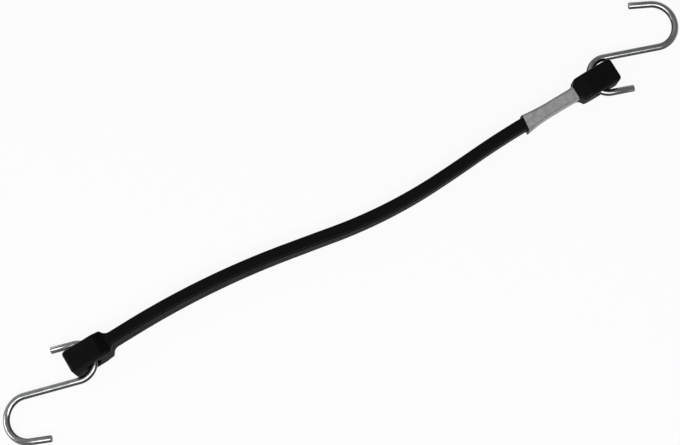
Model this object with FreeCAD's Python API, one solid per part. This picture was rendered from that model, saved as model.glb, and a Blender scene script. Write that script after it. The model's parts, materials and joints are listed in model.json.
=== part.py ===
"""Rubber tie-down strap with a steel S-hook threaded through each end.

The strap is one rubber moulding: a flat band that thickens into a block at each
end, with a round eye through each block. It lies on its narrow edge, on the two
blocks, in the shallow S that it takes when it is laid down. The far block stands
upright and the near one leans, so the band twists a little between them. Each
hook is one length of round wire bent in one plane, and leans with its block.
A paper label is wrapped round the band beside the far block.

Millimetres. +X runs from the near end to the far end, +Z is up, and the origin
is under the middle of the whole object, on the surface that it lies on.
"""
import FreeCAD, Part
import math
import os
from FreeCAD import Placement, Rotation, Vector

# The rubber moulding
RUBBER_LENGTH = 533.0
BAND_THICKNESS = 11.0
BAND_WIDTH = 19.0
EDGE_RADIUS = 2.3

# The block at each end, with its eye and a short lead of band
HEAD_LENGTH = 37.5
HEAD_THICKNESS = 21.5
HEAD_WIDTH = 25.0
HEAD_CORNER_RADIUS = 3.5
EYE_FROM_END = 19.3
EYE_CLEARANCE = 0.5
EYE_BEVEL = 0.8
SHOULDER_EASE = 0.4
NECK_RADIUS = 7.0
TAPER_LENGTH = 8.5
TAPER_CREST_RADIUS = 5.0
TAPER_TOE_RADIUS = 7.0
BLOCK_LEAD = 6.0
PARTING_GROOVE_WIDTH = 0.9
PARTING_GROOVE_DEPTH = 0.35

# How the band lies: straight beside each block, and curved and twisted between.
# Each bend is its share of the curved stretch and its turn to the left, in degrees.
# The near block leans to its left by the near lean, and the far block stands upright.
NEAR_LEAD = 23.0
NEAR_LEAN_ANGLE = 9.0
BENDS = ((0.382, -11.0), (0.118, -0.5), (0.263, 13.0), (0.105, 1.7), (0.132, -4.0))

# The wire hooks
WIRE_DIAMETER = 6.0
LOOP_SIDE_CLEARANCE = 2.1
BIG_LOOP_RADIUS = 19.7
BIG_LOOP_ANGLE = 173.5
SMALL_LOOP_ANGLE = 180.0
SHANK_LENGTH = 50.9
SHANK_SLANT_ANGLE = 18.7
STUB_LENGTH = 20.0
TIP_LENGTH = 19.1
WIRE_END_CHAMFER = 0.35

# The label wrapped round the band beside the far block
LABEL_LENGTH = 51.0
LABEL_THICKNESS = 0.3
LABEL_GAP = 0.08
LABEL_CLIMB = 0.75
LABEL_CUFF_LENGTH = 26.0
LABEL_OPEN_SIDE = 2.6
LABEL_OPEN_BACK = 0.5
LABEL_OPEN_TOP = 0.4
LABEL_OPEN_BOTTOM = 1.0
LABEL_LAP_WIDTH = 10.0
LABEL_LAP_SINK = 0.15

# How many straight runs stand for each curve, so that the pieces stay light
BAND_RUNS = 15
LOOP_RUNS = 15
LABEL_CLIMB_RUNS = 2
LABEL_CUFF_RUNS = 3

# How a swept corner is closed, and how a hook's drop is searched for, in degrees
MITRED = 1
STEEPEST_DROP_ANGLE = 30.0
DROP_PRECISION = 1e-6

# Worked out from the sizes above
WIRE_RADIUS = WIRE_DIAMETER / 2
MID_HEIGHT = HEAD_WIDTH / 2
BAND_BOTTOM = MID_HEIGHT - BAND_WIDTH / 2
SHOULDER_RADIUS = EDGE_RADIUS + SHOULDER_EASE
SHOULDER_STEP = (HEAD_THICKNESS - BAND_THICKNESS) / 2
NECK_SWEEP_ANGLE = math.degrees(math.acos(1 - SHOULDER_STEP / (SHOULDER_RADIUS + NECK_RADIUS)))
NECK_START = HEAD_LENGTH - SHOULDER_RADIUS
NECK_END = NECK_START + (SHOULDER_RADIUS + NECK_RADIUS) * math.sin(math.radians(NECK_SWEEP_ANGLE))
BLOCK_END = NECK_END + BLOCK_LEAD
FAR_LEAD = NECK_END - HEAD_LENGTH + LABEL_LENGTH
SMALL_LOOP_RADIUS = HEAD_THICKNESS / 2 + LOOP_SIDE_CLEARANCE + WIRE_RADIUS
SHANK_SIDE_ANGLE = 90 + SHANK_SLANT_ANGLE
STUB_SIDE_ANGLE = SMALL_LOOP_ANGLE - SHANK_SIDE_ANGLE


def eye_fit():
    """Return the eye's radius and how far outward of its axis the small loop is centred.

    The wire is bent on a circle, so inside the eye it bows inward and at the mouths it
    leans outward. Both places are given the same clearance, at any swing of the hook.
    """
    wire_inside = SMALL_LOOP_RADIUS - WIRE_RADIUS - EYE_CLEARANCE
    wire_outside = SMALL_LOOP_RADIUS + WIRE_RADIUS + EYE_CLEARANCE
    outward = math.sqrt(wire_inside ** 2 - (HEAD_THICKNESS / 2) ** 2)
    radius = (wire_outside - EYE_BEVEL - outward) / 2
    return radius, wire_outside - radius


EYE_RADIUS, SMALL_LOOP_OFFSET = eye_fit()


def direction(degrees):
    """Return the unit vector at this angle from +X in the plan."""
    return Vector(math.cos(math.radians(degrees)), math.sin(math.radians(degrees)), 0)


def turned_arc(start, heading, radius, turn):
    """Return an arc edge that leaves start along heading, and its end point.

    A positive turn goes left.
    """
    side = 1 if turn > 0 else -1
    centre = start + direction(heading + 90 * side) * radius
    middle = centre + direction(heading - 90 * side + turn / 2) * radius
    end = centre + direction(heading - 90 * side + turn) * radius
    return Part.Arc(start, middle, end).toShape(), end


def line(start, end):
    """Return a straight edge."""
    return Part.LineSegment(start, end).toShape()


class Walk:
    """A chain of straight and round edges, drawn by walking along it."""

    def __init__(self, start, heading):
        self.point = start
        self.heading = heading
        self.edges = []
        self.bend_centres = []

    def straight(self, length):
        end = self.point + direction(self.heading) * length
        self.edges.append(line(self.point, end))
        self.point = end

    def bend(self, radius, turn):
        edge, self.point = turned_arc(self.point, self.heading, radius, turn)
        self.edges.append(edge)
        self.bend_centres.append(edge.Curve.Center)
        self.heading += turn


def band_route():
    """Return the middle line of the rubber as (length, turn) stretches, end to end."""
    curved = RUBBER_LENGTH - 2 * HEAD_LENGTH - NEAR_LEAD - FAR_LEAD
    near = [(HEAD_LENGTH + NEAR_LEAD, 0.0)]
    far = [(FAR_LEAD + HEAD_LENGTH, 0.0)]
    return near + [(share * curved, turn) for share, turn in BENDS] + far


def untwisted(distance):
    """Return how much of its twist the band has lost at this distance, from 0 to 1."""
    start = HEAD_LENGTH + NEAR_LEAD
    end = RUBBER_LENGTH - HEAD_LENGTH - FAR_LEAD
    way = min(max((distance - start) / (end - start), 0.0), 1.0)
    return way * way * (3 - 2 * way)


def leaning_height():
    """Return how high the middle of the near block is when it leans on its lower edge."""
    lean = math.radians(NEAR_LEAN_ANGLE)
    level = (HEAD_THICKNESS / 2 - EDGE_RADIUS) * math.sin(lean)
    upright = (HEAD_WIDTH / 2 - EDGE_RADIUS) * math.cos(lean)
    return EDGE_RADIUS + level + upright


def station(route, distance):
    """Return where the rubber's section is at a distance along its middle line."""
    walk = Walk(Vector(0, 0, 0), 0.0)
    left = distance
    for length, turn in route:
        step = min(left, length)
        if step <= 0:
            break
        if turn:
            walk.bend(length / math.radians(abs(turn)), turn * step / length)
        else:
            walk.straight(step)
        left -= step
    twist = 1 - untwisted(distance)
    height = MID_HEIGHT + (leaning_height() - MID_HEIGHT) * twist
    heading = Rotation(Vector(0, 0, 1), walk.heading)
    lean = Rotation(Vector(1, 0, 0), -NEAR_LEAN_ANGLE * twist)
    return Placement(walk.point + Vector(0, 0, height), heading.multiply(lean))


def prism(edges, bottom, height):
    """Return the solid that stands on a closed flat outline."""
    face = Part.Face(Part.Wire(Part.sortEdges(edges)[0]))
    solid = face.extrude(Vector(0, 0, height))
    solid.translate(Vector(0, 0, bottom))
    return solid


def rounded_section(y0, y1, z0, z1, radius):
    """Return a rounded rectangle across the band, in the plane of y and z."""
    walk = Walk(Vector(y0 + radius, z0, 0), 0)
    for length in (y1 - y0, z1 - z0, y1 - y0, z1 - z0):
        walk.straight(length - 2 * radius)
        walk.bend(radius, 90)
    wire = Part.Wire(walk.edges)
    wire.Placement = Placement(Vector(), Rotation(Vector(0, 1, 0), Vector(0, 0, 1), Vector(1, 0, 0), "ZXY"))
    return wire


def band(route):
    """Return the curved and twisted band that joins the two blocks' leads."""
    half_thickness = BAND_THICKNESS / 2
    half_width = BAND_WIDTH / 2
    section = rounded_section(-half_thickness, half_thickness, -half_width, half_width, EDGE_RADIUS)
    length = RUBBER_LENGTH - 2 * BLOCK_END
    distances = [BLOCK_END + length * step / BAND_RUNS for step in range(BAND_RUNS + 1)]
    return Part.makeLoft([placed(section, station(route, at)) for at in distances], True, True)


def head_plan_side():
    """Walk one side of a block's outline, seen from above, from its outer end to the neck."""
    walk = Walk(Vector(0, 0, 0), 90)
    walk.straight(HEAD_THICKNESS / 2 - HEAD_CORNER_RADIUS)
    walk.bend(HEAD_CORNER_RADIUS, -90)
    walk.straight(NECK_START - HEAD_CORNER_RADIUS)
    walk.bend(SHOULDER_RADIUS, -NECK_SWEEP_ANGLE)
    walk.bend(NECK_RADIUS, NECK_SWEEP_ANGLE)
    walk.straight(BLOCK_LEAD)
    return walk


def head_plan():
    """Return the closed outline of a block and its neck, seen from above."""
    side = head_plan_side()
    other = [edge.mirror(Vector(0, 0, 0), Vector(0, 1, 0)) for edge in side.edges]
    neck = line(side.point, Vector(side.point.x, -side.point.y, 0))
    return side.edges + other + [neck]


def taper_walk(inset):
    """Walk the upper half of a block's side outline, from its outer end to the neck.

    The outline is drawn in the plan and turned upright later. inset sinks it evenly.
    """
    drop = (HEAD_WIDTH - BAND_WIDTH) / 2
    slope = math.degrees(math.atan2(drop, TAPER_LENGTH))
    crest = TAPER_CREST_RADIUS * math.tan(math.radians(slope / 2))
    toe = TAPER_TOE_RADIUS * math.tan(math.radians(slope / 2))
    walk = Walk(Vector(inset, 0, 0), 90)
    walk.straight(HEAD_WIDTH / 2 - inset)
    walk.heading = 0
    walk.straight(HEAD_LENGTH - TAPER_LENGTH - crest - inset)
    walk.bend(TAPER_CREST_RADIUS, -slope)
    walk.straight(math.hypot(drop, TAPER_LENGTH) - crest - toe)
    walk.bend(TAPER_TOE_RADIUS, slope)
    walk.straight(BLOCK_END - walk.point.x)
    return walk


def side_prism(inset, thickness):
    """Return the block's side outline as a plate of this thickness about its middle plane."""
    upper = taper_walk(inset)
    lower = [edge.mirror(Vector(0, 0, 0), Vector(0, 1, 0)) for edge in upper.edges]
    neck = line(upper.point, Vector(upper.point.x, -upper.point.y, 0))
    plate = prism(upper.edges + lower + [neck], -thickness / 2, thickness)
    return placed(plate, Placement(Vector(0, 0, MID_HEIGHT), Rotation(Vector(1, 0, 0), 90)))


def head_block():
    """Return one end block with its neck and eye, outer end at the origin."""
    block = prism(head_plan(), 0, HEAD_WIDTH).common(side_prism(0, HEAD_THICKNESS))
    block = block.Solids[0]
    block = block.makeFillet(EDGE_RADIUS, rim_edges(block))
    return block.cut([eye_cutter(), parting_groove_cutter()])


def eye_cutter():
    """Return the eye's hole with its bevelled mouths, level across the block."""
    half = HEAD_THICKNESS / 2
    across = Vector(0, 1, 0)
    hole = Part.makeCylinder(EYE_RADIUS, HEAD_THICKNESS, across * -half, across)
    flare = 2 * EYE_BEVEL
    for side in (1, -1):
        start = across * (side * (half - EYE_BEVEL))
        hole = hole.fuse(Part.makeCone(EYE_RADIUS, EYE_RADIUS + flare, flare, start, across * side))
    hole.translate(Vector(EYE_FROM_END, 0, MID_HEIGHT))
    return hole


def parting_groove_cutter():
    """Return the shallow line that the mould's joint leaves round the middle of a block."""
    plate = side_prism(0, PARTING_GROOVE_WIDTH)
    core = side_prism(PARTING_GROOVE_DEPTH, PARTING_GROOVE_WIDTH * 2)
    beyond_taper = Part.makeBox(NECK_END, HEAD_THICKNESS, HEAD_WIDTH)
    beyond_taper.translate(Vector(HEAD_LENGTH, -HEAD_THICKNESS / 2, 0))
    return plate.cut(core).cut(beyond_taper)


def is_upright(face):
    """Say whether a face's normal is level at its middle."""
    u0, u1, v0, v1 = face.ParameterRange
    return abs(face.normalAt((u0 + u1) / 2, (v0 + v1) / 2).z) < 0.01


def rim_edges(solid):
    """Return the edges where a block's upright sides meet its top and bottom."""
    found = []
    for edge in solid.Edges:
        faces = solid.ancestorsOfType(edge, Part.Face)
        across_lead = abs(edge.CenterOfMass.x - BLOCK_END) < 0.01
        if is_upright(faces[0]) != is_upright(faces[1]) and not across_lead:
            found.append(edge)
    return found


def head_places(route):
    """Return the placements of the near and the far block."""
    foot = Placement(Vector(0, 0, -MID_HEIGHT), Rotation())
    back = Placement(Vector(0, 0, -MID_HEIGHT), Rotation(Vector(0, 0, 1), 180))
    return station(route, 0).multiply(foot), station(route, RUBBER_LENGTH).multiply(back)


def placed(shape, place):
    """Return a copy of the shape moved by a placement."""
    copy = shape.copy()
    copy.Placement = place.multiply(copy.Placement)
    return copy


def strap(route):
    """Return the whole rubber moulding as one solid."""
    blocks = [placed(head_block(), place) for place in head_places(route)]
    return band(route).fuse(blocks).Solids[0]


def wire_path():
    """Return the hook's middle line in its own plane, and the middle of its big loop.

    The eye's axis is the y axis, and the hook reaches out along +X. The line runs
    from the cut end of the stub, round the small loop and through the eye, along
    the shank and round the big loop to its tip. Each loop is bent in short runs.
    """
    start = Vector(SMALL_LOOP_OFFSET, 0, 0) + direction(180 + STUB_SIDE_ANGLE) * SMALL_LOOP_RADIUS
    heading = 90 + STUB_SIDE_ANGLE
    walk = Walk(start - direction(heading) * STUB_LENGTH, heading)
    points = [walk.point]
    for length, radius, turn in ((STUB_LENGTH, SMALL_LOOP_RADIUS, -SMALL_LOOP_ANGLE),
                                 (SHANK_LENGTH, BIG_LOOP_RADIUS, BIG_LOOP_ANGLE)):
        walk.straight(length)
        points.append(walk.point)
        for _ in range(LOOP_RUNS):
            walk.bend(radius, turn / LOOP_RUNS)
            points.append(walk.point)
    walk.straight(TIP_LENGTH)
    return points + [walk.point], walk.bend_centres[-1]


def hook():
    """Return one S-hook lying flat in the plan, its eye's axis along y through the origin."""
    points, _ = wire_path()
    ring = Part.Wire(Part.Circle(points[0], points[1] - points[0], WIRE_RADIUS).toShape())
    solid = Part.Solid(Part.makePolygon(points).makePipeShell([ring], True, False, MITRED))
    ends = [e for e in solid.Edges if is_wire_end(solid, e)]
    return solid.makeChamfer(WIRE_END_CHAMFER, ends)


def is_wire_end(solid, edge):
    """Say whether an edge is the rim of one of the wire's two flat cut ends."""
    faces = solid.ancestorsOfType(edge, Part.Face)
    flat = [face for face in faces if isinstance(face.Surface, Part.Plane)]
    return len(flat) == 1 and len(faces) == 2


def hook_drop(head_place):
    """Return how far a hook drops from level until its wire lies on the surface, in degrees."""
    points, _ = wire_path()
    low, high = 0.0, STEEPEST_DROP_ANGLE
    while high - low > DROP_PRECISION:
        drop = (low + high) / 2
        place = hook_place(head_place, drop)
        if min(place.multVec(point).z for point in points) > WIRE_RADIUS:
            low = drop
        else:
            high = drop
    return low


def hook_place(head_place, drop):
    """Return where a hook goes, threaded through this block's eye and dropped so far."""
    outward = Placement(Vector(EYE_FROM_END, 0, MID_HEIGHT), Rotation(Vector(0, 0, 1), 180))
    tilt = Placement(Vector(0, 0, 0), Rotation(Vector(0, 1, 0), drop))
    return head_place.multiply(outward).multiply(tilt)


def sleeve_section(x, back, front, bottom, top, radius):
    """Return the label's section at x from the block's outer end, so far off the band's sides."""
    half = BAND_THICKNESS / 2
    upper = BAND_BOTTOM + BAND_WIDTH
    wire = rounded_section(-half - back, half + front, BAND_BOTTOM - bottom, upper + top, radius)
    return placed(wire, Placement(Vector(x, 0, 0), Rotation()))


def sleeve(grow):
    """Return the solid inside the label's inner surface, or its outer one when grown.

    The label climbs the flared neck at one end and opens like a cuff at the other.
    """
    snug = LABEL_GAP + grow
    corner = EDGE_RADIUS + snug
    climb_run = math.sqrt(NECK_RADIUS ** 2 - (NECK_RADIUS - LABEL_CLIMB) ** 2)
    open_end = NECK_END - climb_run + LABEL_LENGTH
    stations = []
    for step in range(LABEL_CLIMB_RUNS):
        run = climb_run * (1 - step / LABEL_CLIMB_RUNS)
        climb = NECK_RADIUS - math.sqrt(NECK_RADIUS ** 2 - run ** 2) + snug
        stations.append(sleeve_section(NECK_END - run, climb, climb, snug, snug, corner))
    stations.append(sleeve_section(NECK_END, snug, snug, snug, snug, corner))
    for step in range(LABEL_CUFF_RUNS + 1):
        way = step / LABEL_CUFF_RUNS
        open_share = way ** 2
        stations.append(sleeve_section(open_end - LABEL_CUFF_LENGTH * (1 - way),
                                       LABEL_OPEN_BACK * open_share + snug,
                                       LABEL_OPEN_SIDE * open_share + snug,
                                       LABEL_OPEN_BOTTOM * open_share + snug,
                                       LABEL_OPEN_TOP * open_share + snug, corner))
    return Part.makeLoft(stations, True, True)


def label_wrap():
    """Return the label, open at both ends, with its lapped edge on the back of the band."""
    shell = sleeve(LABEL_THICKNESS).cut(sleeve(0))
    lap_start = NECK_END + EDGE_RADIUS
    lap_length = LABEL_LENGTH - LABEL_CUFF_LENGTH - 2 * EDGE_RADIUS
    face = -BAND_THICKNESS / 2 - LABEL_GAP - LABEL_THICKNESS
    lap = Part.makeBox(lap_length, LABEL_THICKNESS + LABEL_LAP_SINK, LABEL_LAP_WIDTH)
    lap.translate(Vector(lap_start, face - LABEL_THICKNESS, BAND_BOTTOM + EDGE_RADIUS))
    return shell.fuse(lap).Solids[0]


def settle(shapes, route):
    """Turn the object so that its ends lie along X and centre it over the origin."""
    end = station(route, RUBBER_LENGTH).Base
    lie = math.degrees(math.atan2(end.y, end.x))
    turn = Placement(Vector(0, 0, 0), Rotation(Vector(0, 0, 1), -lie))
    turned = {name: placed(shape, turn) for name, shape in shapes.items()}
    box = Part.Compound(list(turned.values())).optimalBoundingBox(False)
    shift = Placement(Vector(-box.Center.x, -box.Center.y, 0), Rotation())
    return {name: placed(shape, shift) for name, shape in turned.items()}, shift.multiply(turn)


def report(shapes, to_part, places, hooks):
    """Print what the record needs: boxes, volumes and the places of the eyes and loops."""
    for name, shape in shapes.items():
        box = shape.optimalBoundingBox(False)
        print(f"{name}: valid {shape.isValid()}, volume {shape.Volume:.1f} mm3, "
              f"x {box.XMin:.3f} to {box.XMax:.3f}, y {box.YMin:.3f} to {box.YMax:.3f}, "
              f"z {box.ZMin:.3f} to {box.ZMax:.3f}")
    print(f"eye radius {EYE_RADIUS:.3f}, small loop offset {SMALL_LOOP_OFFSET:.3f}, neck end {NECK_END:.3f}")
    _, loop_centre = wire_path()
    for name, head_place, wire_place in zip(("near", "far"), places, hooks):
        head = to_part.multiply(head_place)
        wire = to_part.multiply(wire_place)
        rows = (("eye", head.multVec(Vector(EYE_FROM_END, 0, MID_HEIGHT))),
                ("foot", head.multVec(Vector(EYE_FROM_END, HEAD_THICKNESS / 4, 0))),
                ("loop", wire.multVec(loop_centre)),
                ("swing axis", head.Rotation.multVec(Vector(0, 1, 0))),
                ("loop normal", wire.Rotation.multVec(Vector(0, 0, 1))))
        for label, point in rows:
            print(f"{name} {label} {point.x:.6f}, {point.y:.6f}, {point.z:.6f}")


def main():
    """Build the four pieces and write one file for each."""
    route = band_route()
    near, far = head_places(route)
    hooks = [hook_place(place, hook_drop(place)) for place in (near, far)]
    shapes = {
        "strap": strap(route),
        "near_hook": placed(hook(), hooks[0]),
        "far_hook": placed(hook(), hooks[1]),
        "label_wrap": placed(label_wrap(), far),
    }
    shapes, to_part = settle(shapes, route)
    os.makedirs("parts", exist_ok=True)
    for name, shape in shapes.items():
        shape.exportStep(f"parts/{name}.step")
    report(shapes, to_part, (near, far), hooks)


main()
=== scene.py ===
"""Looks for a rubber tie-down strap with a wire S-hook threaded through each end.

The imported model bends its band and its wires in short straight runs. Here the rubber
moulding keeps its two end blocks as they are packed and gets a smooth band between
them, and each hook is made again as one round wire with true bends. The label is a
thin plain sleeve, so it is made again as a real sheet, with its creases, its open
cuff and its lapped edge.

Everything is in metres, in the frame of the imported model.
"""

import json
import logging
import math
from dataclasses import dataclass
from enum import Enum

import bmesh
import bpy
from mathutils import Matrix, Vector, noise

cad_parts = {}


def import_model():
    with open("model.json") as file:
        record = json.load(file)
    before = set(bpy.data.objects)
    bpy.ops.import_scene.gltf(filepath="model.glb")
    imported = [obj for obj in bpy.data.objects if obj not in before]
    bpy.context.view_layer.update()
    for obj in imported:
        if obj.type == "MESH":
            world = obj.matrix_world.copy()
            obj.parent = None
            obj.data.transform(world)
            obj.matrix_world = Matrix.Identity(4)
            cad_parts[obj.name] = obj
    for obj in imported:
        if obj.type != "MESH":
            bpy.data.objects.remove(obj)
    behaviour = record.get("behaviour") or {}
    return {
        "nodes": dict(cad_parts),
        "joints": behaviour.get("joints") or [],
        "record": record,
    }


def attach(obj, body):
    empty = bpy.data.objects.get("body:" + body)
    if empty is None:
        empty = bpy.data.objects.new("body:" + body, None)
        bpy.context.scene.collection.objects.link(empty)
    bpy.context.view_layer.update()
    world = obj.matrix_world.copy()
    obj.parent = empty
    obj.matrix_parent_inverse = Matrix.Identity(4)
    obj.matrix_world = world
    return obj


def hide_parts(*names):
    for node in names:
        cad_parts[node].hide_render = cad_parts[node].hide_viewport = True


LOG = logging.getLogger("tie_down_strap")
MM = 0.001
PHOTO_WIDTH = 680
SENSOR_WIDTH = 36.0
UNBENT = "unbent"

Colour = tuple[float, float, float]
Span = tuple[float, float]
Socket = bpy.types.NodeSocket


def held(value: float) -> float:
    """Return the value, held between 0 and 1."""
    return min(max(value, 0.0), 1.0)


def eased(way: float) -> float:
    """Return a share that starts and ends gently as way runs from 0 to 1."""
    return way * way * (3.0 - 2.0 * way)


class Piece(Enum):
    """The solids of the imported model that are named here."""

    STRAP = "strap"
    LABEL = "label_wrap"


@dataclass(frozen=True)
class HookNames:
    """What one hook's solid, piece, body, hinge and mount are called."""

    node: str
    piece: str
    body: str
    joint: str
    mount: str


HOOKS = (
    HookNames("near_hook", "near_wire_hook", "near_wire", "near_hook_swing", "near_hook_bight"),
    HookNames("far_hook", "far_wire_hook", "far_wire", "far_hook_swing", "far_hook_bight"),
)


@dataclass(frozen=True)
class Cloud:
    """A cloudy pattern: a cloud's rough size, how many finer octaves it has, and how strong each is."""

    size: float
    octaves: float = 3.0
    roughness: float = 0.5


class NodeGraph:
    """The node tree of one material, with short calls to add nodes and join them."""

    level_edge: Span = (0.15, 0.5)
    upright_edge: Span = (0.93, 0.998)

    def __init__(self, name: str) -> None:
        """Start an empty material.

        Args:
            name: the material's name.
        """
        self.material = bpy.data.materials.new(name)
        self.material.use_nodes = True
        self.nodes = self.material.node_tree.nodes
        self.links = self.material.node_tree.links
        self.nodes.clear()
        self.output = self.nodes.new("ShaderNodeOutputMaterial")

    def add(self, kind: str, **values: object) -> bpy.types.Node:
        """Add a node and fill its inputs.

        Args:
            kind: the node type's identifier.
            values: each input by its name, with underscores for spaces, as a value
                or as a socket to join to it.

        Returns:
            The new node.
        """
        node = self.nodes.new(kind)
        for name, value in values.items():
            self.feed(node.inputs[name.replace("_", " ")], value)
        return node

    def feed(self, target: Socket, value: object) -> None:
        """Give an input a value or join a socket to it.

        Args:
            target: the input.
            value: a socket, a number or a colour of three numbers.
        """
        if isinstance(value, bpy.types.NodeSocket):
            self.links.new(value, target)
        elif isinstance(value, tuple) and target.type == "RGBA":
            target.default_value = (*value, 1.0)
        else:
            target.default_value = value

    def place(self) -> Socket:
        """Return the point on the surface in the object's own metres."""
        return self.add("ShaderNodeTexCoord").outputs["Object"]

    def unbent(self) -> Socket:
        """Return the point on a wire as if the wire were straight, with z off the plane of its bends."""
        node = self.add("ShaderNodeAttribute")
        node.attribute_name = UNBENT
        return node.outputs["Vector"]

    def stretched(self, point: Socket, scale: Colour) -> Socket:
        """Stretch a texture's coordinates by a factor along each axis.

        Args:
            point: the coordinates.
            scale: the three factors.

        Returns:
            The stretched coordinates.
        """
        return self.add("ShaderNodeMapping", Vector=point, Scale=scale).outputs["Vector"]

    def noise(self, point: Socket, cloud: Cloud) -> Socket:
        """Return a cloudy value from 0 to 1.

        Args:
            point: the coordinates.
            cloud: the pattern.

        Returns:
            The value.
        """
        node = self.add("ShaderNodeTexNoise", Vector=point, Scale=1.0 / cloud.size)
        node.inputs["Detail"].default_value = cloud.octaves
        node.inputs["Roughness"].default_value = cloud.roughness
        return node.outputs["Fac"]

    def band(self, value: Socket, span: Span, out: Span = (0.0, 1.0)) -> Socket:
        """Bring a span of values to another span, and hold it level outside.

        Args:
            value: the value.
            span: where the values start and end.
            out: what the span's two ends become.

        Returns:
            The new value.
        """
        node = self.add("ShaderNodeMapRange", Value=value)
        node.interpolation_type = "SMOOTHSTEP"
        names = ("From Min", "From Max", "To Min", "To Max")
        for name, number in zip(names, (*span, *out)):
            node.inputs[name].default_value = number
        return node.outputs["Result"]

    def sum(self, operation: str, first: object, second: object) -> Socket:
        """Work out one sum.

        Args:
            operation: the kind of sum, such as MULTIPLY.
            first: a number or a socket.
            second: a number or a socket.

        Returns:
            The result.
        """
        node = self.nodes.new("ShaderNodeMath")
        node.operation = operation
        self.feed(node.inputs[0], first)
        self.feed(node.inputs[1], second)
        return node.outputs["Value"]

    def blend(self, share: Socket, first: object, second: object) -> Socket:
        """Mix two colours.

        Args:
            share: how much of the second there is.
            first: a colour or a socket.
            second: a colour or a socket.

        Returns:
            The mixed colour.
        """
        node = self.nodes.new("ShaderNodeMix")
        node.data_type = "RGBA"
        self.feed(node.inputs["Factor"], share)
        self.feed(node.inputs[6], first)
        self.feed(node.inputs[7], second)
        return node.outputs[2]

    def axis(self, vector: Socket, name: str) -> Socket:
        """Return one coordinate of a vector.

        Args:
            vector: the vector.
            name: X, Y or Z.

        Returns:
            The coordinate.
        """
        return self.add("ShaderNodeSeparateXYZ", Vector=vector).outputs[name]

    def rounded_edges(self) -> Socket:
        """Return 1 where the surface turns between upright and level, and 0 on flat sides."""
        normal = self.add("ShaderNodeNewGeometry").outputs["Normal"]
        level = self.sum("ABSOLUTE", self.axis(normal, "Z"), 0.0)
        rising = self.band(level, self.level_edge)
        falling = self.band(level, self.upright_edge, (1.0, 0.0))
        return self.sum("MULTIPLY", rising, falling)

    def bump(self, height: Socket, depth: float, strength: float, under: Socket | None = None) -> Socket:
        """Turn a height into a bumped normal.

        Args:
            height: the height from 0 to 1.
            depth: what a height of 1 is, in metres.
            strength: how much of it shows.
            under: a normal that is bumped further.

        Returns:
            The normal.
        """
        node = self.add("ShaderNodeBump", Height=height, Distance=depth, Strength=strength)
        if under is not None:
            self.feed(node.inputs["Normal"], under)
        return node.outputs["Normal"]

    def finish(self, shader: bpy.types.Node) -> bpy.types.Material:
        """Join the last shader to the surface.

        Args:
            shader: the last shader.

        Returns:
            The material.
        """
        self.links.new(shader.outputs[0], self.output.inputs["Surface"])
        return self.material


@dataclass(frozen=True)
class RubberFinish:
    """Moulded rubber: near black and matt, with a dusty bloom and edges that are rubbed shiny."""

    black: Colour = (0.0014, 0.0014, 0.0014)
    bloom: Colour = (0.0030, 0.0030, 0.0029)
    scuff: Colour = (0.016, 0.016, 0.0155)
    bloom_cloud: Cloud = Cloud(34 * MM, 5.0, 0.62)
    bloom_span: Span = (0.42, 0.72)
    scuff_cloud: Cloud = Cloud(2.6 * MM, 4.0, 0.7)
    scuff_span: Span = (0.56, 0.78)
    scuff_share: float = 0.55
    ripple_cloud: Cloud = Cloud(9 * MM, 2.0)
    ripple_depth: float = 0.10 * MM
    ripple_strength: float = 0.6
    grain_cloud: Cloud = Cloud(0.42 * MM, 3.0, 0.6)
    grain_depth: float = 0.028 * MM
    grain_strength: float = 0.7
    edge_roughness: float = 0.24
    face_roughness: float = 0.66
    dull_roughness: float = 0.78
    gloss: float = 0.10

    def build(self) -> bpy.types.Material:
        """Return the material."""
        graph = NodeGraph("moulded_rubber")
        point = graph.place()
        bloom = graph.band(graph.noise(point, self.bloom_cloud), self.bloom_span)
        dust = graph.band(graph.noise(point, self.scuff_cloud), self.scuff_span)
        edges = graph.rounded_edges()
        scuff = graph.sum("MULTIPLY", edges, dust)
        colour = graph.blend(bloom, self.black, self.bloom)
        colour = graph.blend(graph.sum("MULTIPLY", scuff, self.scuff_share), colour, self.scuff)
        roughness = graph.band(bloom, (0.0, 1.0), (self.face_roughness, self.dull_roughness))
        rubbed = graph.sum("MULTIPLY", edges, self.face_roughness - self.edge_roughness)
        roughness = graph.sum("SUBTRACT", roughness, rubbed)
        ripple = graph.bump(graph.noise(point, self.ripple_cloud), self.ripple_depth, self.ripple_strength)
        grain = graph.noise(point, self.grain_cloud)
        normal = graph.bump(grain, self.grain_depth, self.grain_strength, ripple)
        shader = graph.add("ShaderNodeBsdfPrincipled", Base_Color=colour, Roughness=roughness)
        graph.feed(shader.inputs["Normal"], normal)
        shader.inputs["Specular IOR Level"].default_value = self.gloss
        return graph.finish(shader)


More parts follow.
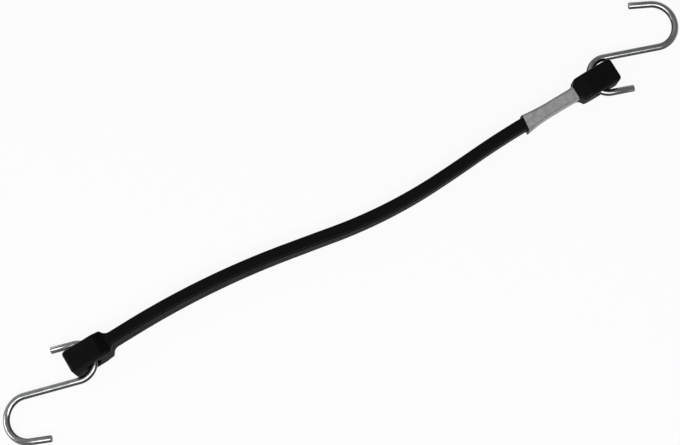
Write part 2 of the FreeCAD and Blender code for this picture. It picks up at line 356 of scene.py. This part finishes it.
@dataclass(frozen=True)
class WireFinish:
    """Zinc plating on drawn steel wire, drawn lengthwise: bright on its crown, with painted shade
    darkening its flanks.
    """

    zinc: Colour = (0.47, 0.48, 0.485)
    dulled: Colour = (0.355, 0.365, 0.37)
    stain: Colour = (0.20, 0.195, 0.185)
    # painted shade: the colour the wire's flanks take, darker than the zinc, standing in for shade on its
    # sides
    painted_flank_shade: Colour = (0.045, 0.047, 0.049)
    dull_cloud: Cloud = Cloud(7 * MM, 4.0, 0.6)
    dull_span: Span = (0.38, 0.68)
    stain_cloud: Cloud = Cloud(3.2 * MM, 5.0, 0.72)
    stain_span: Span = (0.60, 0.76)
    stain_share: float = 0.35
    draw_cloud: Cloud = Cloud(0.55 * MM, 3.0, 0.6)
    draw_span: Span = (0.45, 0.75)
    draw_share: float = 0.35
    draw_stretch: Colour = (0.03, 1.0, 1.0)
    draw_depth: float = 0.004 * MM
    draw_strength: float = 0.6
    bright_roughness: float = 0.17
    dull_roughness: float = 0.26
    # painted shade: how far off the plane of the bends the painted flank shade gives way to the zinc
    crown_span: Span = (1.50 * MM, 2.55 * MM)

    def build(self) -> bpy.types.Material:
        """Return the material."""
        graph = NodeGraph("zinc_plated_wire")
        point = graph.unbent()
        drawn = graph.noise(graph.stretched(point, self.draw_stretch), self.draw_cloud)
        dull = graph.band(graph.noise(point, self.dull_cloud), self.dull_span)
        stain = graph.band(graph.noise(point, self.stain_cloud), self.stain_span)
        off_plane = graph.sum("ABSOLUTE", graph.axis(point, "Z"), 0.0)
        crown = graph.band(off_plane, self.crown_span)
        colour = graph.blend(dull, self.zinc, self.dulled)
        colour = graph.blend(graph.sum("MULTIPLY", stain, self.stain_share), colour, self.stain)
        lines = graph.sum("MULTIPLY", graph.band(drawn, self.draw_span), self.draw_share)
        colour = graph.blend(lines, colour, self.stain)
        # painted shade: near the plane of the bends, the wire's sides are coloured with the dark flank
        # shade
        colour = graph.blend(crown, self.painted_flank_shade, colour)
        roughness = graph.band(dull, (0.0, 1.0), (self.bright_roughness, self.dull_roughness))
        normal = graph.bump(drawn, self.draw_depth, self.draw_strength)
        shader = graph.add("ShaderNodeBsdfPrincipled", Base_Color=colour, Roughness=roughness)
        graph.feed(shader.inputs["Normal"], normal)
        shader.inputs["Metallic"].default_value = 1.0
        return graph.finish(shader)


@dataclass(frozen=True)
class LabelFinish:
    """Pale coated paper, greyed by handling and creased, with nothing printed on it, and painted shade
    darkening its rounded edges.
    """

    paper: Colour = (0.37, 0.37, 0.375)
    grey: Colour = (0.275, 0.275, 0.28)
    # dark grey for the smudges, and also the colour of the painted shade on the rounded edges
    smudge: Colour = (0.13, 0.13, 0.13)
    grey_cloud: Cloud = Cloud(5.5 * MM, 5.0, 0.68)
    grey_span: Span = (0.36, 0.66)
    smudge_cloud: Cloud = Cloud(2.2 * MM, 5.0, 0.7)
    smudge_span: Span = (0.57, 0.74)
    smudge_share: float = 0.5
    # painted shade: how far the rounded edges are darkened towards the smudge colour
    edge_painted_shade: float = 0.45
    fibre_cloud: Cloud = Cloud(0.5 * MM, 3.0, 0.6)
    fibre_depth: float = 0.03 * MM
    fibre_strength: float = 0.5
    roughness: float = 0.5

    def build(self) -> bpy.types.Material:
        """Return the material."""
        graph = NodeGraph("label_paper")
        point = graph.place()
        clean = graph.band(graph.noise(point, self.grey_cloud), self.grey_span)
        smudge = graph.band(graph.noise(point, self.smudge_cloud), self.smudge_span)
        colour = graph.blend(clean, self.grey, self.paper)
        colour = graph.blend(graph.sum("MULTIPLY", smudge, self.smudge_share), colour, self.smudge)
        # painted shade: the rounded edges take the smudge colour as shade, not as dirt
        edge_shade = graph.sum("MULTIPLY", graph.rounded_edges(), self.edge_painted_shade)
        colour = graph.blend(edge_shade, colour, self.smudge)
        fibre = graph.bump(graph.noise(point, self.fibre_cloud), self.fibre_depth, self.fibre_strength)
        shader = graph.add("ShaderNodeBsdfPrincipled", Base_Color=colour, Normal=fibre)
        shader.inputs["Roughness"].default_value = self.roughness
        return graph.finish(shader)


@dataclass(frozen=True)
class FloorFinish:
    """A white table that shows nearly white, with the object's own soft shadow on it."""

    colour: Colour = (0.84, 0.84, 0.84)
    white_share: float = 0.92

    def build(self) -> bpy.types.Material:
        """Return the material."""
        graph = NodeGraph("white_table")
        plain = graph.add("ShaderNodeBsdfDiffuse", Color=self.colour)
        white = graph.add("ShaderNodeEmission", Color=(1.0, 1.0, 1.0), Strength=1.0)
        path = graph.add("ShaderNodeLightPath")
        seen = graph.sum("MAXIMUM", path.outputs["Is Camera Ray"], path.outputs["Is Glossy Ray"])
        seen = graph.sum("MAXIMUM", seen, path.outputs["Is Transmission Ray"])
        mix = graph.nodes.new("ShaderNodeMixShader")
        graph.feed(mix.inputs[0], graph.sum("MULTIPLY", seen, self.white_share))
        graph.feed(mix.inputs[1], plain.outputs[0])
        graph.feed(mix.inputs[2], white.outputs[0])
        return graph.finish(mix)


@dataclass(frozen=True)
class Bend:
    """One bend of the band: its share of the curved stretch, and its turn to the left in degrees."""

    share: float
    turn: float


@dataclass(frozen=True)
class BlockPlace:
    """Where an end block is: its outer end, and the level direction from there into the band."""

    start: Vector
    inward: Vector

    @classmethod
    def from_record(cls, joint: dict, eye_from_end: float) -> "BlockPlace":
        """Work a block's place out from the hinge in its eye.

        Args:
            joint: the hinge, whose axis runs across the block.
            eye_from_end: how far the eye is from the block's outer end.

        Returns:
            The place.
        """
        across = Vector(joint["axis"])
        inward = Vector((across.y, -across.x, 0.0)).normalized()
        return cls(Vector(joint["pos_m"]) - inward * eye_from_end, inward)

    def along(self, point: Vector) -> float:
        """Return how far inward from the block's outer end a point is."""
        return (point - self.start).dot(self.inward)


@dataclass
class StrapBody:
    """The rubber moulding: two blocks, and the smooth band that curves and untwists between them."""

    length: float = 533.0 * MM
    eye_from_end: float = 19.3 * MM
    head_length: float = 37.5 * MM
    block_end: float = 49.42 * MM
    near_lead: float = 23.0 * MM
    far_lead: float = 56.92 * MM
    thickness: float = 11.0 * MM
    width: float = 19.0 * MM
    edge_radius: float = 2.3 * MM
    near_lean: float = math.radians(9.0)
    bends: tuple[Bend, ...] = (
        Bend(0.382, -11.0),
        Bend(0.118, -0.5),
        Bend(0.263, 13.0),
        Bend(0.105, 1.7),
        Bend(0.132, -4.0),
    )
    seam: float = 0.5 * MM
    weld: float = 0.002 * MM
    rings: int = 220
    corner_steps: int = 6
    crisp_angle: float = math.radians(32.0)
    finish: RubberFinish = RubberFinish()

    def stretches(self) -> list[tuple[float, float]]:
        """Return the middle line's stretches, each as its length and its turn in radians."""
        curved = self.length - 2 * self.head_length - self.near_lead - self.far_lead
        bends = [(bend.share * curved, math.radians(bend.turn)) for bend in self.bends]
        return [(self.head_length + self.near_lead, 0.0), *bends, (self.far_lead + self.head_length, 0.0)]

    def middle(self, distance: float) -> tuple[float, float, float]:
        """Return the middle line's place in the plan, seen from the near end.

        Args:
            distance: how far along the line.

        Returns:
            The distance ahead, the distance to the left and the heading.
        """
        ahead = left = heading = 0.0
        rest = distance
        for length, turn in self.stretches():
            step = min(rest, length)
            if step <= 0.0:
                break
            turned = turn * step / length
            if turn:
                radius = length / turn
                ahead += radius * (math.sin(heading + turned) - math.sin(heading))
                left += radius * (math.cos(heading) - math.cos(heading + turned))
            else:
                ahead += step * math.cos(heading)
                left += step * math.sin(heading)
            heading += turned
            rest -= step
        return ahead, left, heading

    def twist(self, distance: float) -> float:
        """Return how much of the near block's lean the band still has, from 1 to 0."""
        first = self.head_length + self.near_lead
        last = self.length - self.head_length - self.far_lead
        return 1.0 - eased(held((distance - first) / (last - first)))

    def section(self) -> list[tuple[float, float]]:
        """Return the band's section, a rounded oblong, as points across and up from its middle."""
        radius = self.edge_radius
        across, up = self.thickness / 2 - radius, self.width / 2 - radius
        corners_in_turn = ((across, up), (-across, up), (-across, -up), (across, -up))
        points = []
        for quarter, (centre_across, centre_up) in enumerate(corners_in_turn):
            for step in range(self.corner_steps + 1):
                angle = math.radians(90.0 * quarter + 90.0 * step / self.corner_steps)
                point_across = centre_across + radius * math.cos(angle)
                points.append((point_across, centre_up + radius * math.sin(angle)))
        return points

    def ring(self, distance: float, near: BlockPlace, far: BlockPlace) -> list[Vector]:
        """Return the points of the band's section at a distance along it.

        Args:
            distance: how far along the middle line.
            near: the near block's place.
            far: the far block's place.

        Returns:
            The points.
        """
        ahead, left, heading = self.middle(distance)
        twist = self.twist(distance)
        sideways = Vector((-near.inward.y, near.inward.x, 0.0))
        centre = near.start + near.inward * ahead + sideways * left
        centre.z = far.start.z + (near.start.z - far.start.z) * twist
        across = sideways * math.cos(heading) - near.inward * math.sin(heading)
        lean = self.near_lean * twist
        points = []
        for side, up in self.section():
            level = side * math.cos(lean) + up * math.sin(lean)
            height = up * math.cos(lean) - side * math.sin(lean)
            points.append(centre + across * level + Vector((0.0, 0.0, height)))
        return points

    def add_band(self, form: bmesh.types.BMesh, near: BlockPlace, far: BlockPlace) -> None:
        """Add the smooth band, a little short of both blocks.

        Args:
            form: the moulding.
            near: the near block's place.
            far: the far block's place.
        """
        first = self.block_end + self.seam
        span = self.length - 2 * first
        rows = []
        for step in range(self.rings + 1):
            points = self.ring(first + span * step / self.rings, near, far)
            rows.append([form.verts.new(point) for point in points])
        for row, onward in zip(rows, rows[1:]):
            for side in range(len(row)):
                form.faces.new((row[side - 1], row[side], onward[side], onward[side - 1]))

    def keep_blocks(self, form: bmesh.types.BMesh, near: BlockPlace, far: BlockPlace) -> None:
        """Delete everything between the two blocks' leads.

        Args:
            form: the moulding as packed.
            near: the near block's place.
            far: the far block's place.
        """
        edge = self.block_end + self.seam / 2
        between = [face for face in form.faces
                   if any(near.along(v.co) > edge and far.along(v.co) > edge for v in face.verts)]
        bmesh.ops.delete(form, geom=between, context="FACES")

    def join(self, form: bmesh.types.BMesh, place: BlockPlace) -> None:
        """Close the seam between a block and the band.

        Args:
            form: the moulding.
            place: the block's place.
        """
        reach = self.block_end + 2 * self.seam
        rim = [edge for edge in form.edges if edge.is_boundary and place.along(edge.verts[0].co) < reach]
        bmesh.ops.bridge_loops(form, edges=rim)

    def build(self, node: bpy.types.Object, near: BlockPlace, far: BlockPlace) -> bpy.types.Object:
        """Make the moulding.

        Args:
            node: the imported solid.
            near: the near block's place.
            far: the far block's place.

        Returns:
            The moulding, linked into the scene.
        """
        form = bmesh.new()
        form.from_mesh(node.data)
        form.transform(node.matrix_world)
        bmesh.ops.remove_doubles(form, verts=form.verts, dist=self.weld)
        self.keep_blocks(form, near, far)
        self.add_band(form, near, far)
        for place in (near, far):
            self.join(form, place)
        bmesh.ops.recalc_face_normals(form, faces=form.faces)
        for face in form.faces:
            face.smooth = True
        for edge in form.edges:
            edge.smooth = edge.calc_face_angle(0.0) < self.crisp_angle
        open_edges = sum(edge.is_boundary for edge in form.edges)
        LOG.info("rubber moulding of %d faces, %d open edges", len(form.faces), open_edges)
        mesh = bpy.data.meshes.new("rubber_moulding")
        form.to_mesh(mesh)
        form.free()
        mesh.materials.append(self.finish.build())
        moulding = bpy.data.objects.new("rubber_moulding", mesh)
        bpy.context.scene.collection.objects.link(moulding)
        flats = moulding.modifiers.new("flats", "WEIGHTED_NORMAL")
        flats.keep_sharp = True
        return moulding


@dataclass(frozen=True)
class HookPlace:
    """Where one hook is: x runs outward from its eye, y along the eye, z off the plane of its bends."""

    eye: Vector
    outward: Vector
    along_eye: Vector
    off_plane: Vector

    @classmethod
    def from_record(cls, joint: dict, bight: dict) -> "HookPlace":
        """Work a hook's place out from its hinge and from the mount in its big loop.

        Args:
            joint: the hinge in the hook's eye.
            bight: the mount, whose axis stands off the plane of the wire's bends.

        Returns:
            The place.
        """
        along_eye = -Vector(joint["axis"]).normalized()
        off_plane = Vector(bight["axis"]).normalized()
        return cls(Vector(joint["pos_m"]), along_eye.cross(off_plane), along_eye, off_plane)

    def point(self, x: float, y: float, z: float) -> Vector:
        """Return a point of the hook's frame in the model's frame.

        Args:
            x: outward from the eye.
            y: along the eye.
            z: off the plane of the bends.

        Returns:
            The point.
        """
        return self.eye + self.outward * x + self.along_eye * y + self.off_plane * z


@dataclass(frozen=True)
class Station:
    """One place on a wire's middle line: its point, its heading, the way walked and the wire's radius."""

    x: float
    y: float
    heading: float
    walked: float
    radius: float


@dataclass
class BentWire:
    """One S-hook: a round wire with a stub, a small loop, a shank, a big loop and a tip."""

    wire_radius: float = 3.0 * MM
    small_loop_radius: float = 15.85 * MM
    small_loop_offset: float = 13.115 * MM
    big_loop_radius: float = 19.7 * MM
    small_loop_turn: float = math.radians(180.0)
    big_loop_turn: float = math.radians(173.5)
    shank_slant: float = math.radians(18.7)
    stub_length: float = 20.0 * MM
    shank_length: float = 50.9 * MM
    tip_length: float = 19.1 * MM
    end_chamfer: float = 0.35 * MM
    bend_step: float = math.radians(2.5)
    ring_sides: int = 40

    def start(self) -> Station:
        """Return the cut end of the stub."""
        lean = self.small_loop_turn - math.radians(90.0) - self.shank_slant
        heading = math.radians(90.0) + lean
        side = math.radians(180.0) + lean
        x = math.cos(side) * self.small_loop_radius - math.cos(heading) * self.stub_length
        y = math.sin(side) * self.small_loop_radius - math.sin(heading) * self.stub_length
        return Station(self.small_loop_offset + x, y, heading, 0.0, self.wire_radius - self.end_chamfer)

    def straight(self, last: Station, length: float, radius: float) -> Station:
        """Walk straight on.

        Args:
            last: where the walk is.
            length: how far it goes.
            radius: the wire's radius at its end.

        Returns:
            The new station.
        """
        x = last.x + math.cos(last.heading) * length
        y = last.y + math.sin(last.heading) * length
        return Station(x, y, last.heading, last.walked + length, radius)

    def bend(self, last: Station, radius: float, turn: float) -> list[Station]:
        """Walk round a bend.

        Args:
            last: where the walk is.
            radius: the bend's radius on the middle line.
            turn: how far it turns, to the left where positive.

        Returns:
            The stations on the bend.
        """
        side = math.copysign(1.0, turn)
        centre_x = last.x - math.sin(last.heading) * radius * side
        centre_y = last.y + math.cos(last.heading) * radius * side
        steps = math.ceil(abs(turn) / self.bend_step)
        found = []
        for step in range(1, steps + 1):
            turned = turn * step / steps
            heading = last.heading + turned
            x = centre_x + math.sin(heading) * radius * side
            y = centre_y - math.cos(heading) * radius * side
            found.append(Station(x, y, heading, last.walked + abs(turned) * radius, self.wire_radius))
        return found

    def stations(self) -> list[Station]:
        """Return every station, from the end of the stub to the end of the tip."""
        full = self.wire_radius
        found = [self.start()]
        found.append(self.straight(found[-1], self.end_chamfer, full))
        found.append(self.straight(found[-1], self.stub_length - self.end_chamfer, full))
        found += self.bend(found[-1], self.small_loop_radius, -self.small_loop_turn)
        found.append(self.straight(found[-1], self.shank_length, full))
        found += self.bend(found[-1], self.big_loop_radius, self.big_loop_turn)
        found.append(self.straight(found[-1], self.tip_length - self.end_chamfer, full))
        found.append(self.straight(found[-1], self.end_chamfer, full - self.end_chamfer))
        return found

    def build(self, name: str, place: HookPlace, plating: bpy.types.Material) -> bpy.types.Object:
        """Make the wire.

        Args:
            name: the piece's name.
            place: where the hook is.
            plating: its material.

        Returns:
            The wire, linked into the scene.
        """
        stations = self.stations()
        sides = self.ring_sides
        vertices, unbent = [], []
        for station in stations:
            for step in range(sides):
                angle = math.tau * step / sides
                across = math.cos(angle) * station.radius
                off = math.sin(angle) * station.radius
                x = station.x - math.sin(station.heading) * across
                y = station.y + math.cos(station.heading) * across
                vertices.append(place.point(x, y, off))
                unbent += (station.walked, across, off)
        faces = []
        for row in range(len(stations) - 1):
            for step in range(sides):
                near, far = row * sides + step, row * sides + (step + 1) % sides
                faces.append((near, near + sides, far + sides, far))
        faces.append(tuple(range(sides)))
        faces.append(tuple(range(len(vertices) - 1, len(vertices) - sides - 1, -1)))
        mesh = bpy.data.meshes.new(name)
        mesh.from_pydata(vertices, [], faces)
        walls = range(sides, len(faces) - 2 - sides)
        mesh.polygons.foreach_set("use_smooth", [face in walls for face in range(len(faces))])
        mesh.attributes.new(UNBENT, "FLOAT_VECTOR", "POINT").data.foreach_set("vector", unbent)
        mesh.materials.append(plating)
        wire = bpy.data.objects.new(name, mesh)
        bpy.context.scene.collection.objects.link(wire)
        LOG.info("%s of %d faces", name, len(faces))
        return wire


@dataclass
class HeadFrame:
    """Where the far block is: x runs inward from its outer end, y across it and z up."""

    origin: Vector
    inward: Vector
    across: Vector

    @classmethod
    def from_record(cls, joint: dict, eye_from_end: float) -> "HeadFrame":
        """Work the block's place out from its hook's hinge.

        Args:
            joint: the hinge, as the record gives it.
            eye_from_end: how far the eye is from the block's outer end.

        Returns:
            The place.
        """
        across = Vector(joint["axis"])
        inward = across.cross(Vector((0.0, 0.0, 1.0)))
        eye = Vector(joint["pos_m"])
        origin = eye - inward * eye_from_end
        origin.z = 0.0
        return cls(origin, inward, across)

    def point(self, x: float, y: float, z: float) -> Vector:
        """Return a point of the block's frame in the model's frame.

        Args:
            x: inward from the outer end.
            y: across the block.
            z: up.

        Returns:
            The point.
        """
        return self.origin + self.inward * x + self.across * y + Vector((0.0, 0.0, z))


@dataclass
class LabelSleeve:
    """The label: one sheet wrapped round the band and lapped on itself at the back.

    It grips the foot of the block's neck at one end, and stands open like a cuff at
    the other. Sizes are in metres, and places are in the far block's frame.
    """

    eye_from_end: float = 19.3 * MM
    band_thickness: float = 11.0 * MM
    band_bottom: float = 3.0 * MM
    band_width: float = 19.0 * MM
    edge_radius: float = 2.3 * MM
    neck_end: float = 43.42 * MM
    neck_radius: float = 7.0 * MM
    climb_run: float = 3.0 * MM
    length: float = 51.0 * MM
    cuff_length: float = 26.0 * MM
    open_front: float = 2.5 * MM
    open_back: float = 1.5 * MM
    open_top: float = 0.35 * MM
    open_bottom: float = 0.9 * MM
    gap: float = 0.12 * MM
    thickness: float = 0.14 * MM
    lap: float = 10.0 * MM
    lap_lift: float = 0.30 * MM
    slant: float = 1.3 * MM
    slant_power: int = 6
    crease_depth: float = 0.28 * MM
    creases_along: float = 170.0
    creases_round: float = 260.0
    ridge_sharpness: float = 2.2
    ridge_share: float = 0.75
    ripple_pitch: float = 2.7
    ripple_shift: Colour = (9.0, 4.0, 2.0)
    ripple_share: float = 0.6
    snug_share: float = 0.25
    lap_rise_start: float = 2.0
    lap_rise_run: float = 3.0
    stations: int = 110
    corner_steps: int = 7
    side_steps: int = 22
    finish: LabelFinish = LabelFinish()

    def opening(self, x: float) -> float:
        """Return how open the cuff is at x, from 0 to 1.

        Args:
            x: inward from the block's outer end.

        Returns:
            The share.
        """
        start = self.neck_end - self.climb_run + self.length - self.cuff_length
        return held((x - start) / self.cuff_length) ** 2

    def climb(self, x: float) -> float:
        """Return how far the neck stands out of the band at x.

        Args:
            x: inward from the block's outer end.

        Returns:
            The distance.
        """
        run = max(self.neck_end - x, 0.0)
        return self.neck_radius - math.sqrt(self.neck_radius ** 2 - run ** 2)

    def section(self, x: float) -> tuple[float, float, float, float]:
        """Return the four sides of the sleeve's section at x.

        Args:
            x: inward from the block's outer end.

        Returns:
            The back, the front, the bottom and the top.
        """
        share = self.opening(x)
        climb = self.climb(x)
        half = self.band_thickness / 2 + self.gap + climb
        back = -half - self.open_back * share
        front = half + self.open_front * share
        bottom = self.band_bottom - self.gap - self.open_bottom * share
        top = self.band_bottom + self.band_width + self.gap + self.open_top * share
        return back, front, bottom, top

    def walk(self, x: float) -> list[tuple[float, float, float, float]]:
        """Go once round the section at x, and on over the lap.

        Args:
            x: inward from the block's outer end.

        Returns:
            For each point its y and z, and the outward direction there.
        """
        back, front, bottom, top = self.section(x)
        radius = self.edge_radius + self.gap
        corners = (
            (back + radius, top - radius, 180.0, -90.0),
            (front - radius, top - radius, 90.0, -90.0),
            (front - radius, bottom + radius, 0.0, -90.0),
            (back + radius, bottom + radius, -90.0, -90.0),
        )
        start = (back, self.band_bottom + self.edge_radius)
        points = [(start[0], start[1], -1.0, 0.0)]
        for cy, cz, first, turn in corners:
            at = math.radians(first)
            corner_start = (cy + radius * math.cos(at), cz + radius * math.sin(at))
            points += self.run(points[-1], corner_start, (math.cos(at), math.sin(at)))
            for step in range(1, self.corner_steps + 1):
                at = math.radians(first + turn * step / self.corner_steps)
                out_y, out_z = math.cos(at), math.sin(at)
                points.append((cy + radius * out_y, cz + radius * out_z, out_y, out_z))
        lap_end = (back, start[1] + self.lap)
        return points + self.run(points[-1], lap_end, (-1.0, 0.0))

    def run(self, start: tuple[float, float, float, float], end: tuple[float, float],
            outward: tuple[float, float]) -> list[tuple[float, float, float, float]]:
        """Divide one flat side of the section.

        Args:
            start: the point it starts from.
            end: the y and z of its end.
            outward: the direction that it faces.

        Returns:
            The points after start, in the form that walk gives.
        """
        found = []
        for step in range(1, self.side_steps + 1):
            way = step / self.side_steps
            y = start[0] + (end[0] - start[0]) * way
            z = start[1] + (end[1] - start[1]) * way
            found.append((y, z, *outward))
        return found

    def crease(self, x: float, along: float) -> float:
        """Return how far the sheet stands off at a place on it.

        Args:
            x: inward from the block's outer end.
            along: the distance walked round the section.

        Returns:
            The distance, never below zero.
        """
        place = Vector((x * self.creases_along, along * self.creases_round, 0.0))
        ridge = 1.0 - abs(noise.noise(place)) * self.ridge_sharpness
        ripple = noise.noise(place * self.ripple_pitch + Vector(self.ripple_shift))
        share = self.snug_share + (1.0 - self.snug_share) * self.opening(x)
        height = ridge * self.ridge_share + ripple * self.ripple_share
        return self.crease_depth * share * max(0.0, height)

    def ring(self, way: float) -> list[tuple[float, float, float]]:
        """Return the points of one ring of the sheet.

        Args:
            way: from 0 at the block to 1 at the open end.

        Returns:
            The points in the far block's frame.
        """
        start = self.neck_end - self.climb_run
        middle = start + self.length * way
        points = []
        walked = 0.0
        last = None
        flat = self.walk(middle)
        total = sum(math.dist(a[:2], b[:2]) for a, b in zip(flat, flat[1:]))
        for y, z, out_y, out_z in flat:
            if last is not None:
                walked += math.dist(last, (y, z))
            last = (y, z)
            before_lap = walked - (total - self.lap) + self.lap_rise_start * self.edge_radius
            over = held(before_lap / (self.lap_rise_run * self.edge_radius))
            off = self.crease(middle, min(walked, total - walked) if over else walked)
            off += over * (self.lap_lift + 2 * self.thickness)
            slanted = middle + self.slant * way ** self.slant_power * (y / self.band_thickness)
            points.append((slanted, y + out_y * off, z + out_z * off))
        return points

    def build(self, place: HeadFrame) -> bpy.types.Object:
        """Make the sheet.

        Args:
            place: the far block's frame.

        Returns:
            The sheet, linked into the scene.
        """
        rings = [self.ring(step / self.stations) for step in range(self.stations + 1)]
        width = len(rings[0])
        vertices = [place.point(*point) for ring in rings for point in ring]
        faces = []
        for row in range(self.stations):
            for column in range(width - 1):
                corner = row * width + column
                faces.append((corner, corner + 1, corner + width + 1, corner + width))
        mesh = bpy.data.meshes.new("label_sheet")
        mesh.from_pydata(vertices, [], faces)
        mesh.polygons.foreach_set("use_smooth", [True] * len(mesh.polygons))
        sheet = bpy.data.objects.new("label_sheet", mesh)
        bpy.context.scene.collection.objects.link(sheet)
        thick = sheet.modifiers.new("thickness", "SOLIDIFY")
        thick.thickness = self.thickness
        thick.offset = 1.0
        mesh.materials.append(self.finish.build())
        LOG.info("label sheet of %d faces", len(faces))
        return sheet


@dataclass(frozen=True)
class Lamp:
    """One soft box: a lamp with a lit front, aimed at a point."""

    name: str
    place: Colour
    aim: Colour
    width: float
    height: float
    power: float

    def build(self) -> None:
        """Hang the lamp."""
        light = bpy.data.lights.new(self.name, "AREA")
        light.shape = "RECTANGLE"
        light.size = self.width
        light.size_y = self.height
        light.energy = self.power
        lamp = bpy.data.objects.new(self.name, light)
        lamp.location = self.place
        aim = Vector(self.aim) - Vector(self.place)
        lamp.rotation_euler = aim.to_track_quat("-Z", "Y").to_euler()
        bpy.context.scene.collection.objects.link(lamp)


@dataclass(frozen=True)
class Viewpoint:
    """The camera that took the photograph: high over the object and leaning a little."""

    aim: Colour = (-5.87 * MM, 0.16 * MM, 0.0)
    turn: float = 28.765
    tilt: float = 8.41
    distance: float = 1467.9 * MM
    focal_pixels: float = 1700.0
    clip_start: float = 0.05
    clip_end: float = 20.0

    def build(self) -> bpy.types.Object:
        """Set the camera up.

        Returns:
            The camera.
        """
        turn = math.radians(self.turn)
        tilt = math.radians(self.tilt)
        right = Vector((math.cos(turn), -math.sin(turn), 0.0))
        ground_up = Vector((math.sin(turn), math.cos(turn), 0.0))
        back = Vector((0.0, 0.0, 1.0)) * math.cos(tilt) - ground_up * math.sin(tilt)
        up = back.cross(right)
        lens = bpy.data.cameras.new("camera")
        lens.sensor_fit = "HORIZONTAL"
        lens.sensor_width = SENSOR_WIDTH
        lens.lens = self.focal_pixels * SENSOR_WIDTH / PHOTO_WIDTH
        lens.clip_start = self.clip_start
        lens.clip_end = self.clip_end
        camera = bpy.data.objects.new("camera", lens)
        bpy.context.scene.collection.objects.link(camera)
        place = Vector(self.aim) + back * self.distance
        facing = Matrix((right, up, back)).transposed()
        camera.matrix_world = Matrix.Translation(place) @ facing.to_4x4()
        return camera


@dataclass
class Studio:
    """The table, the lamps, the sky and the camera."""

    table_size: float = 6.0
    sky: Colour = (1.0, 1.0, 1.0)
    sky_strength: float = 0.24
    viewpoint: Viewpoint = Viewpoint()
    table: FloorFinish = FloorFinish()
    lamps: tuple[Lamp, ...] = (
        Lamp("key", (-0.20, -0.52, 1.15), (0.0, 0.0, 0.0), 1.8, 0.6, 12.5),
        Lamp("fill", (-0.35, 0.95, 1.10), (0.0, 0.0, 0.0), 1.6, 1.6, 1.5),
        Lamp("rim", (-1.17, 0.36, 0.55), (-0.30, 0.0, 0.0), 0.5, 0.5, 3.0),
    )

    def lay_table(self) -> None:
        """Lay the white table under the object."""
        half = self.table_size / 2
        mesh = bpy.data.meshes.new("table")
        outline = [(-half, -half, 0), (half, -half, 0), (half, half, 0), (-half, half, 0)]
        mesh.from_pydata(outline, [], [(0, 1, 2, 3)])
        table = bpy.data.objects.new("table", mesh)
        bpy.context.scene.collection.objects.link(table)
        mesh.materials.append(self.table.build())

    def light(self) -> None:
        """Hang the lamps and set the sky."""
        for lamp in self.lamps:
            lamp.build()
        world = bpy.data.worlds.new("sky")
        world.use_nodes = True
        background = world.node_tree.nodes["Background"]
        background.inputs["Color"].default_value = (*self.sky, 1.0)
        background.inputs["Strength"].default_value = self.sky_strength
        bpy.context.scene.world = world

    def build(self) -> None:
        """Set the whole studio up."""
        self.lay_table()
        self.light()
        scene = bpy.context.scene
        scene.camera = self.viewpoint.build()
        scene.view_settings.view_transform = "Standard"


def corners(box: tuple) -> list[list[float]]:
    """Return a box's corners as plain lists.

    Args:
        box: the lowest and the highest corner.

    Returns:
        The same corners as lists of numbers.
    """
    return [[float(value) for value in corner] for corner in box]


def main() -> None:
    """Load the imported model, dress it and set up the studio."""
    logging.basicConfig(level=logging.INFO, format="%(name)s: %(message)s")
    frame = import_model()
    nodes = frame["nodes"]
    joints = {joint["name"]: joint for joint in frame["joints"]}
    mounts = {mount["name"]: mount for mount in frame["record"]["mounts"]}
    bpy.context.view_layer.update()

    strap = StrapBody()
    blocks = [BlockPlace.from_record(joints[hook.joint], strap.eye_from_end) for hook in HOOKS]
    moulding = strap.build(nodes[Piece.STRAP.value], *blocks)
    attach(moulding, "rubber")
    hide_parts(Piece.STRAP.value)

    plating = WireFinish().build()
    for hook in HOOKS:
        place = HookPlace.from_record(joints[hook.joint], mounts[hook.mount])
        wire = BentWire().build(hook.piece, place, plating)
        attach(wire, hook.body)
        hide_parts(hook.node)

    sleeve = LabelSleeve()
    place = HeadFrame.from_record(joints["far_hook_swing"], sleeve.eye_from_end)
    sheet = sleeve.build(place)
    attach(sheet, "rubber")
    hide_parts(Piece.LABEL.value)

    Studio().build()


if __name__ == "__main__":
    main()
